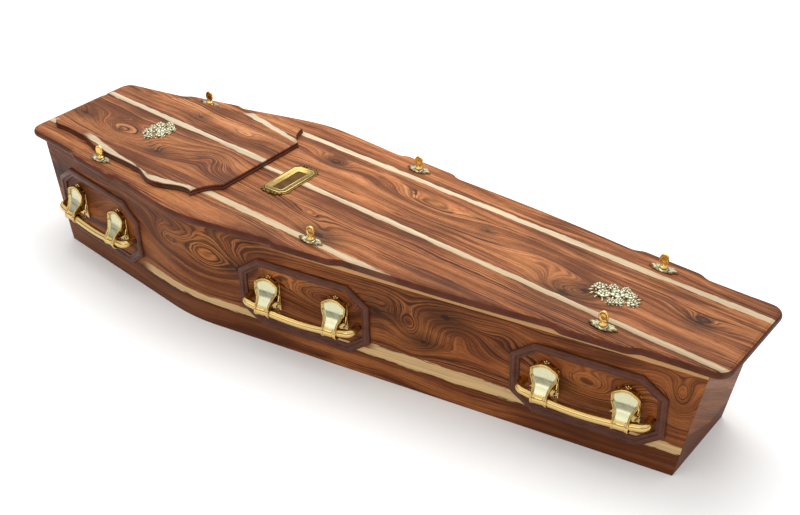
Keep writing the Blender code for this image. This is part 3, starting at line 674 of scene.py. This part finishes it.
# Bar handles: a gold-plated bar that sags between two fan-shaped lugs and turns back to the wall at its ends.
# Each lug is a casting: a wall plate, a hood with a twice-rolled border round a hollow polished face, side
# scrolls, a small leaf over the arch and a band that wraps the bar.
BAR_R = 0.01
BAR_Z = 0.118
BAR_OUT = 0.034
BAR_END_RISE = 0.018
BAR_HALF = 0.148
BAR_TURN = 0.012
LUG_SPREAD = 0.187
LUG_RISE = 0.08
LUG_ARCH = 0.016
LUG_FAN = 0.033
LUG_WAIST = 0.0195
WALL_PLATE_HALF = 0.0295
WALL_PLATE_FOOT = -0.01
WALL_PLATE_THICK = 0.0048
WEB_TOP = 0.07
HOOD_THICK = 0.0075
BAND_R = 0.0155
BAND_HALF = 0.02
BORE_CLEARANCE = 0.0004
HOOD_START = BAR_R + 0.0012
HOOD_OUT = ((0.0, 0.044), (0.012, 0.0425), (0.02, 0.0365), (0.03, 0.028), (0.045, 0.0205), (0.06, 0.0172),
            (0.08, 0.0152))
ROLL = 0.0042
INNER_ROLL = 0.0032
QUIRK = 0.0004
SIDE_BORDER = 1.7
GOLD = (0.68, 0.47, 0.165)
GOLD_HOLLOW_SHADE = (0.22, 0.13, 0.03)


def plated(name, colour, hollow_shade, low, high):
    """Gold plate with soft wear, painted shade in its hollows, and its roughness from low to high."""
    mat = Finish(name)
    worn = mat.cloud(mat.place, 60.0, 3.0)
    edges = mat.add("NewGeometry", {}, "Pointiness")
    shown = mat.over(mat.between(worn, 0.35, 0.75, 0.0, 0.35), colour, tuple(c * 0.9 + 0.1 for c in colour))
    # Painted shade: the hollows, found by their pointiness, are darkened towards the hollow shade colour.
    shown = mat.over(mat.falling(edges, 0.4, 0.495, 0.92), shown, hollow_shade)
    mat.shade(Base_Color=shown, Metallic=1.0, Roughness=mat.between(worn, 0.3, 0.7, low, high))
    return mat


gold = plated("polished gold plate", GOLD, GOLD_HOLLOW_SHADE, 0.13, 0.22)
# Painted reflection: the hood faces take a paler, greyer gold than the rest of the casting, for the white
# light their polished hollow mirrors.
hood_painted_reflection = plated("hood gold with painted reflection", (0.6, 0.575, 0.37), GOLD_HOLLOW_SHADE, 0.22, 0.3)


def bar_height(u):
    return BAR_Z + BAR_END_RISE * (u / BAR_HALF) ** 2


def bar_path():
    side = []
    for i in range(17):
        u = (BAR_HALF - BAR_TURN) * i / 16
        side.append(Vector((u, BAR_OUT, bar_height(u))))
    start = side[-1]
    for i in range(1, 7):
        a = math.pi / 2 * i / 6
        u = start.x + BAR_TURN * math.sin(a)
        side.append(Vector((u, start.y - BAR_TURN * (1 - math.cos(a)), bar_height(u))))
    side.append(Vector((side[-1].x, GAP, side[-1].z)))
    return [Vector((-p.x, p.y, p.z)) for p in reversed(side[1:])] + side


def full_turn(count):
    """Angles spread evenly over a full turn."""
    return [2 * math.pi * k / count for k in range(count)]


def swung(reach, angle, height=0.0):
    """A point that lies so far out from the middle at an angle."""
    return Vector((reach * math.cos(angle), reach * math.sin(angle), height))


def rod(path, radius, sides):
    """A round rod along a path; radius may be a function of the share of the way along."""
    rings = []
    for i, p in enumerate(path):
        along = (path[min(i + 1, len(path) - 1)] - path[max(i - 1, 0)]).normalized()
        level = along.cross(Vector((0, 0, 1)))
        across = along.orthogonal().normalized() if abs(along.z) > 0.95 else level.normalized()
        other = across.cross(along)
        r = radius(i / (len(path) - 1)) if callable(radius) else radius
        rings.append([p + r * (math.cos(a) * across + math.sin(a) * other) for a in full_turn(sides)])
    return closed_rings(rings)


def plaque(front, back):
    """A closed body between a front and a back grid of points, given as rows."""
    rows, columns = len(front), len(front[0])
    verts = [p for row in front for p in row] + [p for row in back for p in row]
    under = rows * columns
    faces = []
    for i in range(rows - 1):
        for j in range(columns - 1):
            a = i * columns + j
            b = a + columns
            faces += [(a, a + 1, b + 1, b), (under + a, under + b, under + b + 1, under + a + 1)]
    rim = list(range(columns)) + [i * columns + columns - 1 for i in range(1, rows)]
    rim += [(rows - 1) * columns + j for j in reversed(range(columns - 1))]
    rim += [i * columns for i in reversed(range(1, rows - 1))]
    for a, b in zip(rim, rim[1:] + rim[:1]):
        faces.append((b, a, under + a, under + b))
    return verts, faces


def along_table(table, x):
    """A smooth value from a table of (x, value)."""
    for (low, a), (high, b) in zip(table, table[1:]):
        if x <= high:
            return a + (b - a) * min(max((x - low) / (high - low), 0.0), 1.0)
    return table[-1][1]


def lug_half_width(rise):
    """The hood's half width: narrow at the band, then fanning out towards the arch."""
    return LUG_WAIST + (LUG_FAN - LUG_WAIST) * ease((rise - 0.018) / 0.05)


def arch_top(u):
    return LUG_RISE - LUG_ARCH * (u / LUG_FAN) ** 2


def border_relief(away):
    """Height of the hood's face at a distance in from its border: two rolls, then the hollow."""
    def roll(start, width, height):
        return height * max(0.0, 1 - ((away - start) / width * 2 - 1) ** 2) ** 0.5

    hollow = -0.0028 * ease((away - ROLL - INNER_ROLL) / 0.0018)
    return roll(0.0, ROLL, 0.0026) + roll(ROLL + QUIRK, INNER_ROLL, 0.0017) + hollow


def lug_hood():
    """The hood as a grid: even rows from the band up, then rows and columns that follow the rolled border."""
    aways = [0.0, 0.0003, 0.001, 0.0021, 0.0032, 0.0039, 0.0042, 0.0046, 0.0052, 0.0062, 0.0072, 0.0077,
             0.0088, 0.0102, 0.012]
    rows = [HOOD_START + 0.003 * i for i in range(17)] + [None] * len(aways)
    front, back = [], []
    for k, rise in enumerate(rows):
        tops = aways[len(rows) - 1 - k] if rise is None else None
        half = lug_half_width(LUG_RISE - tops - 0.008 if rise is None else rise)
        columns = [-half + a / SIDE_BORDER for a in aways] + [half * c * 0.32 for c in (-1, 0, 1)]
        columns = sorted(columns + [half - a / SIDE_BORDER for a in aways])
        row, under = [], []
        for u in columns:
            height = arch_top(u) - tops if rise is None else rise * (arch_top(u) - 0.012) / (LUG_RISE - 0.012)
            height = max(height, HOOD_START)
            away = min((half - abs(u)) * SIDE_BORDER, arch_top(u) - height)
            out = along_table(HOOD_OUT, height)
            row.append(Vector((u, out + border_relief(away), height)))
            under.append(Vector((u * 0.985, out - HOOD_THICK, height)))
        front.append(row)
        back.append(under)
    return plaque(front, back)


def lug_web():
    """The stem behind the hood, and the wall plate with its upright edges and arched top."""
    rings = []
    for i in range(13):
        rise = HOOD_START + (WEB_TOP - HOOD_START) * i / 12
        half = lug_half_width(rise) * 0.84
        out = along_table(HOOD_OUT, rise) - 0.004
        rings.append([Vector((-half, 0.003, rise)), Vector((half, 0.003, rise)), Vector((half, out, rise)),
                      Vector((-half, out, rise))])
    front, back = [], []
    for i in range(13):
        row, under = [], []
        for j in range(-8, 9):
            u = WALL_PLATE_HALF * j / 8
            rise = WALL_PLATE_FOOT + (arch_top(u) - 0.001 - WALL_PLATE_FOOT) * i / 12
            edge = 0.0014 if i in (0, 12) or abs(j) == 8 else 0.0
            row.append(Vector((u, WALL_PLATE_THICK - edge, rise)))
            under.append(Vector((u, GAP, rise)))
        front.append(row)
        back.append(under)
    return gather([closed_rings(rings), plaque(front, back)])


def lug_band():
    """The band round the bar: a rolled ring, bored for it."""
    profile = [(-1.0, 0.8), (-0.98, 0.93), (-0.92, 1.0), (-0.84, 1.0), (-0.78, 0.95), (-0.75, 0.88),
               (-0.7, 0.91), (-0.64, 0.93), (-0.58, 0.9), (-0.54, 0.85), (-0.3, 0.86), (0.0, 0.865)]
    profile += [(-u, r) for u, r in reversed(profile[:-1])]
    section = [(u * BAND_HALF, r * BAND_R) for u, r in profile]
    section += [(BAND_HALF, BAR_R + BORE_CLEARANCE), (-BAND_HALF, BAR_R + BORE_CLEARANCE)]
    return closed_rings([[Vector((u, BAR_OUT + r * math.cos(a), r * math.sin(a))) for u, r in section]
                         for a in full_turn(32)], loop=True)


def blade(at, heading, length, width, height, crease=0.5, curl=0.0, rise=0.0, blunt=0.9, steps=9, sides=10):
    """A closed leaf or petal: flat under, domed on top with a crease down the middle."""
    along = Vector((math.cos(heading), math.sin(heading), 0))
    rings = []
    for i in range(steps + 1):
        t = 0.02 + 0.96 * i / steps
        bend = curl * t * t
        forward = Matrix.Rotation(bend, 3, "Z") @ along
        side = Vector((-forward.y, forward.x, 0))
        half = width / 2 * math.sin(math.pi * t ** blunt) ** 0.75
        base = Vector(at) + forward * length * t + Vector((0, 0, rise * math.sin(math.pi * t * 0.6)))
        ring = []
        for a in full_turn(sides):
            across, up = math.cos(a), math.sin(a)
            dome = height * (up if up > 0 else up * 0.25)
            dome *= math.sin(math.pi * min(t * 0.9 + 0.08, 1.0)) ** 0.6
            notch = crease * height * max(0.0, 1 - abs(across) * 3.2) if up > 0 else 0.0
            ring.append(base + side * half * across + Vector((0, 0, dome - notch)))
        rings.append(ring)
    return closed_rings(rings)


def bead(at, radius, squash=1.0, sides=12):
    """A ball, or a button when squashed."""
    rings = []
    for i in range(1, 8):
        a = math.pi * i / 8
        r = radius * math.sin(a)
        rings.append([Vector(at) + swung(r, b, -radius * squash * math.cos(a)) for b in full_turn(sides)])
    return closed_rings(rings)


def gather(parts):
    """Verts and faces of several closed forms that are cast as one."""
    verts, faces = [], []
    for part_verts, part_faces in parts:
        faces += [tuple(i + len(verts) for i in face) for face in part_faces]
        verts += part_verts
    return verts, faces


def turned(part, matrix):
    verts, faces = part
    return [matrix @ Vector(v) for v in verts], faces


def lug_trim():
    """The bead edging down the flanks, the side scrolls near the band and the small leaf over the arch."""
    parts = []
    for side in (-1, 1):
        for i in range(13):
            rise = 0.02 + 0.04 * i / 12
            u = side * (lug_half_width(rise) - 0.0005)
            parts.append(bead((u, along_table(HOOD_OUT, rise) - 0.0052, rise), 0.0015, 1.0, 8))
        edging = [Vector((side * 0.029, 0.0046, -0.008 + 0.072 * i / 10)) for i in range(11)]
        parts.append(rod(edging, 0.0017, 8))
        path = []
        for i in range(21):
            t = i / 20
            curl = math.pi * 2.1 * ease((t - 0.35) / 0.65)
            reach = 0.0062 * (1 - 0.55 * ease((t - 0.45) / 0.55))
            u = side * (0.027 + reach * math.sin(curl) * 0.9)
            rise = 0.04 - 0.038 * ease(t / 0.8) - reach * math.cos(curl)
            path.append(Vector((u, 0.006 + 0.008 * ease(t / 0.7), rise)))
        parts.append(rod(path, lambda t: 0.003 - 0.0008 * t, 10))
        parts.append(bead(tuple(path[-1]), 0.0036))
        parts.append(bead((side * 0.027, 0.005, 0.036), 0.0038))
    lay = Matrix(((1, 0, 0, 0), (0, 0, 1, 0.004), (0, 1, 0, LUG_RISE - 0.006), (0, 0, 0, 1)))
    for heading, length in ((90, 0.011), (45, 0.01), (135, 0.01)):
        parts.append(turned(blade((0, 0, 0), math.radians(heading), length, 0.006, 0.004, crease=0.3), lay))
    parts.append(bead((0, 0.009, LUG_RISE - 0.001), 0.0038))
    return gather(parts)


# The hood comes first in the lug's mesh, two faces to a cell, so its cells give the faces in the hollow.
HOOD_ROWS = 20
HOOD_COLUMNS = 33
BORDER_COLUMNS = 11
lug_form = gather([lug_hood(), lug_web(), lug_band(), lug_trim()])
for place, x in HANDLES:
    for side, side_name in SIDES:
        axes = wall_axes(x, side)
        bar = make_piece(f"bar_{place}_{side_name}", *rod(bar_path(), BAR_R, 28), gold)
        settle(bar, f"handle_bar_{place}_{side_name}", axes)
        for end, end_name in ((-1, "a"), (1, "b")):
            lug = make_piece(f"lug_{place}_{side_name}_{end_name}", *lug_form, gold, sharp=50)
            # The faces in the hood's hollow take the paler gold, a painted reflection.
            lug.data.materials.append(hood_painted_reflection.material)
            for i in range(HOOD_ROWS):
                for j in range(BORDER_COLUMNS, HOOD_COLUMNS - BORDER_COLUMNS - 1):
                    lug.data.polygons[2 * (i * (HOOD_COLUMNS - 1) + j)].material_index = 1
            spread = side * end * LUG_SPREAD / 2
            settle(lug, f"handle_lug_{place}_{side_name}_{end_name}",
                   axes @ Matrix.Translation((spread, 0, bar_height(spread))))


# Thumb screws: six gold-plated screws that hold the lid down. Each has an oval finger plate over a round
# collar, and stands in a cast collar with a spray of leaves to the head and another to the foot.
SCREW_X = (-0.705, -0.006, 0.713)
SCREW_INSET = (0.031, 0.045, 0.042)
SEAT = 0.0063
COLLAR_LEAVES = ((0.0, 0.0095, 0.0265, 0.0092, 0.007), (0.46, 0.009, 0.0195, 0.007, 0.006),
                 (-0.46, 0.009, 0.0195, 0.007, 0.006), (1.0, 0.008, 0.0115, 0.0062, 0.0044),
                 (-1.0, 0.008, 0.0115, 0.0062, 0.0044))
pale_gold = plated("pale gold plate", (0.5, 0.47, 0.32), (0.04, 0.028, 0.01), 0.14, 0.24)
amber_gold = plated("amber gold plate", (0.84, 0.54, 0.16), (0.42, 0.22, 0.04), 0.2, 0.32)


def lathe(at, profile, sides=20):
    """A turned form from (radius, height) pairs."""
    return closed_rings([[Vector(at) + swung(r, a, h) for a in full_turn(sides)] for r, h in profile])


def finger_plate(base):
    """An oval plate that stands across the lid, with a raised rim on both faces."""
    wide, tall, middle = 0.012, 0.0148, base + 0.02
    rings = ((0.08, 0.0016), (0.45, 0.0015), (0.66, 0.0014), (0.76, 0.0026), (0.86, 0.0028), (0.96, 0.0022),
             (1.0, 0.0))
    order = [(s, -h) for s, h in rings] + [(s, h) for s, h in reversed(rings[:-1])]
    return closed_rings([[Vector((wide * s * math.cos(a), y, middle + tall * s * math.sin(a)))
                          for a in full_turn(28)] for s, y in order])


def screw_form():
    collar = ((0.0034, 0.0), (0.0098, 0.0004), (0.01, 0.0014), (0.0092, 0.0026), (0.0072, 0.004),
              (0.005, 0.0052), (0.0042, 0.007), (0.003, 0.009))
    profile = [(0.0034, 0.0)] + [(r, SEAT + h) for r, h in collar]
    return gather([lathe((0, 0, 0), profile), finger_plate(SEAT)])


def leaf_collar():
    profile = [(0.0126, 0.0002), (0.0129, 0.002), (0.012, 0.0034), (0.0102, 0.004), (0.009, 0.005),
               (0.0074, 0.006), (0.0042, 0.006), (0.004, 0.0003)]
    parts = [lathe((0, 0, 0), profile, 24)]
    for side in (0, math.pi):
        for turn, start, length, width, lift in COLLAR_LEAVES:
            at = swung(start, side + turn * 0.9, 0.0008)
            parts.append(blade(at, side + turn, length, width, lift, crease=0.62, curl=-turn * 0.7,
                               rise=0.001, blunt=0.75, steps=10, sides=12))
        for turn in (-0.28, 0.28):
            parts.append(bead(swung(0.021, side + turn, 0.003), 0.0022, 0.9, 10))
    return gather(parts)


screw_parts = (("lid_screw", "thumb_screw", screw_form(), amber_gold),
               ("leaf_collar", "screw_rosette", leaf_collar(), pale_gold))
for place, x, inset in zip(("head", "middle", "foot"), SCREW_X, SCREW_INSET):
    for side, side_name in SIDES:
        stand = Matrix.Translation((x, side * (half_width(x) - inset), LID_TOP + GAP))
        for name, node, form, finish in screw_parts:
            piece = make_piece(f"{name}_{place}_{side_name}", *form, finish, sharp=50)
            settle(piece, f"{node}_{place}_{side_name}", stand)


# Sprays: two cast clusters of common garden blossoms and leaves, gold plated and pinned flat, one on the head
# panel and one on the foot half of the lid.
def blossom(at, radius, petals, turn):
    """Two rings of petals round a button."""
    parts = []
    for ring, (reach, count, lift) in enumerate(((1.0, petals, 0.0024), (0.64, petals - 1, 0.005))):
        for a in full_turn(count):
            heading = turn + ring * 0.5 + a
            start = Vector(at) + swung(0.12 * radius, heading, lift - 0.001)
            parts.append(blade(start, heading, radius * reach * 0.95, radius * reach * 0.98, 0.0028,
                               crease=0.45, rise=0.0016, blunt=1.35, steps=7, sides=10))
    parts.append(bead((at[0], at[1], at[2] + 0.0066), radius * 0.2, 0.8, 10))
    return parts


def spray(blossoms, leaves):
    """Blossoms on low domed seats, each over a whorl of small leaves, with longer leaves round them all."""
    parts = []
    for i, (x, y, radius) in enumerate(blossoms):
        dome = ((0.7, 0.0002), (0.66, 0.0018), (0.4, 0.003), (0.05, 0.0034))
        parts.append(lathe((x, y, 0), [(radius * share, height) for share, height in dome], 14))
        parts += blossom((x, y, 0.0012), radius, 5 + i % 2, 0.7 * i)
        for a in full_turn(7):
            heading = 0.4 * i + a
            start = (x + radius * 0.45 * math.cos(heading), y + radius * 0.45 * math.sin(heading), 0.0004)
            parts.append(blade(start, heading, radius * 0.92, radius * 0.44, 0.0022, crease=0.6, curl=0.4,
                               steps=7))
    for x, y, heading, length in leaves:
        parts.append(blade((x, y, 0.0004), math.radians(heading), length, length * 0.4, 0.0034, crease=0.6,
                           curl=0.25, steps=10))
    return gather(parts)


def leaf_ring(count, reach_x, reach_y, lean, length):
    """Leaves set round an oval, pointing out and turned by lean degrees."""
    return [(reach_x * math.cos(a), reach_y * math.sin(a), math.degrees(a) + lean, length)
            for a in full_turn(count)]


head_blossoms = ((-0.02, 0.026, 0.0125), (0.002, 0.004, 0.015), (0.021, 0.024, 0.012),
                 (0.02, -0.018, 0.0125), (-0.019, -0.02, 0.0125), (0.0, 0.042, 0.0105),
                 (0.002, -0.04, 0.011), (-0.024, 0.003, 0.01), (0.025, 0.003, 0.0095))
head_leaves = leaf_ring(13, 0.027, 0.04, 18, 0.013)
foot_blossoms = ((-0.044, 0.012, 0.013), (-0.022, -0.01, 0.015), (0.004, 0.006, 0.0165),
                 (0.03, 0.014, 0.013), (0.046, -0.008, 0.013), (0.02, -0.02, 0.012),
                 (-0.016, 0.024, 0.0115), (0.006, -0.03, 0.0095), (0.012, 0.03, 0.01))
foot_leaves = leaf_ring(17, 0.05, 0.027, 12, 0.013)
for node, centre, blossoms, leaves in (("spray_head", (-0.678, -0.02), head_blossoms, head_leaves),
                                       ("spray_foot", (0.676, -0.018), foot_blossoms, foot_leaves)):
    cluster = make_piece(f"{node}_flowers", *spray(blossoms, leaves), pale_gold, sharp=50)
    settle(cluster, node, Matrix.Translation((*centre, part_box(node)[0].z)))


# Nameplate: a bare dark bronze plate in a cast gold-plated frame. The frame is a long octagon with a beaded
# rim and a broad slope, a small crest near its foot corner and scrolled leaves at both short ends.
PLATE_AT = (-0.236, -0.014)
PLATE_LENGTH = 0.148
PLATE_WIDTH = 0.075
OPENING_LENGTH = 0.103
OPENING_WIDTH = 0.0285
PLATE_CUT = 0.0135
PLATE_FRAME_THICK = 0.005
PLATE_FRAME_PROFILE = ((0.0, 0.0), (0.0, 0.4), (0.03, 0.62), (0.07, 0.62), (0.09, 0.24), (0.12, 0.18),
                       (0.15, 0.26), (0.18, 0.88), (0.24, 1.0), (0.31, 0.98), (0.36, 0.84), (0.39, 0.74),
                       (0.6, 0.58), (0.82, 0.42), (0.86, 0.34), (0.89, 0.42), (0.94, 0.42), (0.98, 0.32),
                       (1.0, 0.22), (1.0, 0.0))
brass = plated("warm gold plate", (0.44, 0.3, 0.085), (0.04, 0.02, 0.005), 0.18, 0.3)


def plate_surround():
    """A beaded rim, a groove and a broad slope down to the opening, round a long octagon."""
    outer = octagon(PLATE_WIDTH, PLATE_LENGTH, PLATE_CUT, PLATE_CUT)
    inner = octagon(OPENING_WIDTH, OPENING_LENGTH, 0.003, 0.004)
    return closed_rings([[Vector((*a.lerp(b, share), height * PLATE_FRAME_THICK))
                          for share, height in PLATE_FRAME_PROFILE] for a, b in zip(outer, inner)], loop=True)


def plate_scrolls():
    """Curled leaves with a bead at each tip along both short ends, and the small crest."""
    parts = []
    for end in (-1, 1):
        for i in range(-3, 4):
            x = i * 0.0086
            y = end * (PLATE_LENGTH / 2 - 0.004 - 0.0007 * i * i)
            heading = math.pi / 2 * end - i * 0.2 * end
            reach = 0.0165 if i % 2 == 0 else 0.0135
            curl = 0.9 if i < 0 else -0.9
            parts.append(blade((x, y, 0.0004), heading, reach, 0.0058, 0.0046, crease=0.6, curl=curl))
            parts.append(bead((x + 0.003 * i / 3, y + end * (reach - 0.0035), 0.0026), 0.0026, 0.9, 8))
    for heading in (0, 40, -40):
        at = (PLATE_WIDTH / 2 - 0.003, -0.052, 0.0004)
        parts.append(blade(at, math.radians(heading), 0.0085, 0.005, 0.003, crease=0.4))
    return parts


surround = make_piece("nameplate_surround", *gather([plate_surround()] + plate_scrolls()), brass, sharp=32)
settle(surround, "nameplate_frame", Matrix.Translation((*PLATE_AT, LID_TOP + GAP)))

bronze = Finish("dark bronze")
brushed = bronze.brushed((1, 0, 0), 1800.0, (0, 1, 0), 60.0)
tarnish = bronze.cloud(bronze.place, 40.0, 3.0)
bronze_colour = bronze.over(bronze.between(tarnish, 0.3, 0.7), (0.085, 0.032, 0.001), (0.15, 0.064, 0.003))
bronze.shade(Base_Color=bronze_colour, Metallic=1.0, Roughness=bronze.between(brushed, 0.3, 0.7, 0.28, 0.4),
             Normal=bronze.relief(brushed, 0.0001, 0.3))
dress_board("nameplate", bronze, 0.0004)


# The studio: a plain white floor, one broad soft light overhead, walls that are greyer near the floor, and a
# camera at the photograph's angle.
floor_finish = Finish("white floor")
floor_cloud = floor_finish.cloud(floor_finish.place, 0.7, 2.0)
floor_finish.shade(Base_Color=floor_finish.over(floor_cloud, (0.86, 0.86, 0.85), (0.89, 0.89, 0.88)),
                   Roughness=0.85, Emission_Color=(1.0, 1.0, 1.0), Emission_Strength=0.1)
FLOOR_REACH = 30.0
FLOOR_TOP = -0.0005
floor_corners = [(x * FLOOR_REACH, y * FLOOR_REACH, FLOOR_TOP)
                 for x, y in ((-1, -1), (1, -1), (1, 1), (-1, 1))]
floor = make_piece("studio_floor", floor_corners, [(0, 1, 2, 3)], floor_finish)

world = bpy.data.worlds.new("studio")
world.use_nodes = True
walls = world.node_tree.nodes
facing = walls.new("ShaderNodeSeparateXYZ")
glow = walls.new("ShaderNodeValToRGB")
world.node_tree.links.new(walls.new("ShaderNodeTexCoord").outputs["Generated"], facing.inputs[0])
world.node_tree.links.new(facing.outputs["Z"], glow.inputs[0])
world.node_tree.links.new(glow.outputs[0], walls["Background"].inputs["Color"])
for element, (height, tone) in zip((glow.color_ramp.elements[0], glow.color_ramp.elements.new(0.5),
                                    glow.color_ramp.elements[-1]), ((0.08, 0.14), (0.44, 0.85), (1.0, 1.0))):
    element.position = height
    element.color = (tone, tone, tone, 1.0)
walls["Background"].inputs["Strength"].default_value = 1.15
bpy.context.scene.world = world


def soft_light(name, at, aim, width, height, power):
    light = bpy.data.lights.new(name, "AREA")
    light.shape = "RECTANGLE"
    light.size = width
    light.size_y = height
    light.energy = power
    lamp = bpy.data.objects.new(name, light)
    lamp.location = at
    lamp.rotation_mode = "QUATERNION"
    lamp.rotation_quaternion = (Vector(aim) - Vector(at)).to_track_quat("-Z", "Y")
    bpy.context.scene.collection.objects.link(lamp)


soft_light("overhead softbox", (-0.6, 1.2, 3.3), (-0.1, 0, 0.3), 3.6, 2.8, 80)
soft_light("near fill", (-0.6, -3.6, 1.8), (-0.1, 0, 0.2), 2.4, 1.2, 10)

CAMERA_AT = Vector((1.755, -2.343, 1.919))
CAMERA_YAW = math.radians(-35.3707)
CAMERA_PITCH = math.radians(-30.8635)
CAMERA_ROLL = math.radians(0.1616)
CAMERA_LENS = 61.99
ahead = Vector((math.sin(CAMERA_YAW) * math.cos(CAMERA_PITCH), math.cos(CAMERA_YAW) * math.cos(CAMERA_PITCH),
                math.sin(CAMERA_PITCH)))
right = ahead.cross(Vector(UP)).normalized()
above = right.cross(ahead)
right, above = (right * math.cos(CAMERA_ROLL) + above * math.sin(CAMERA_ROLL),
                above * math.cos(CAMERA_ROLL) - right * math.sin(CAMERA_ROLL))
camera = bpy.data.objects.new("camera", bpy.data.cameras.new("camera"))
camera.matrix_world = Matrix.Translation(CAMERA_AT) @ Matrix((right, above, -ahead)).transposed().to_4x4()
camera.data.lens = CAMERA_LENS
camera.data.sensor_width = 36
bpy.context.scene.collection.objects.link(camera)
bpy.context.scene.camera = camera
bpy.context.scene.view_settings.view_transform = "Standard"
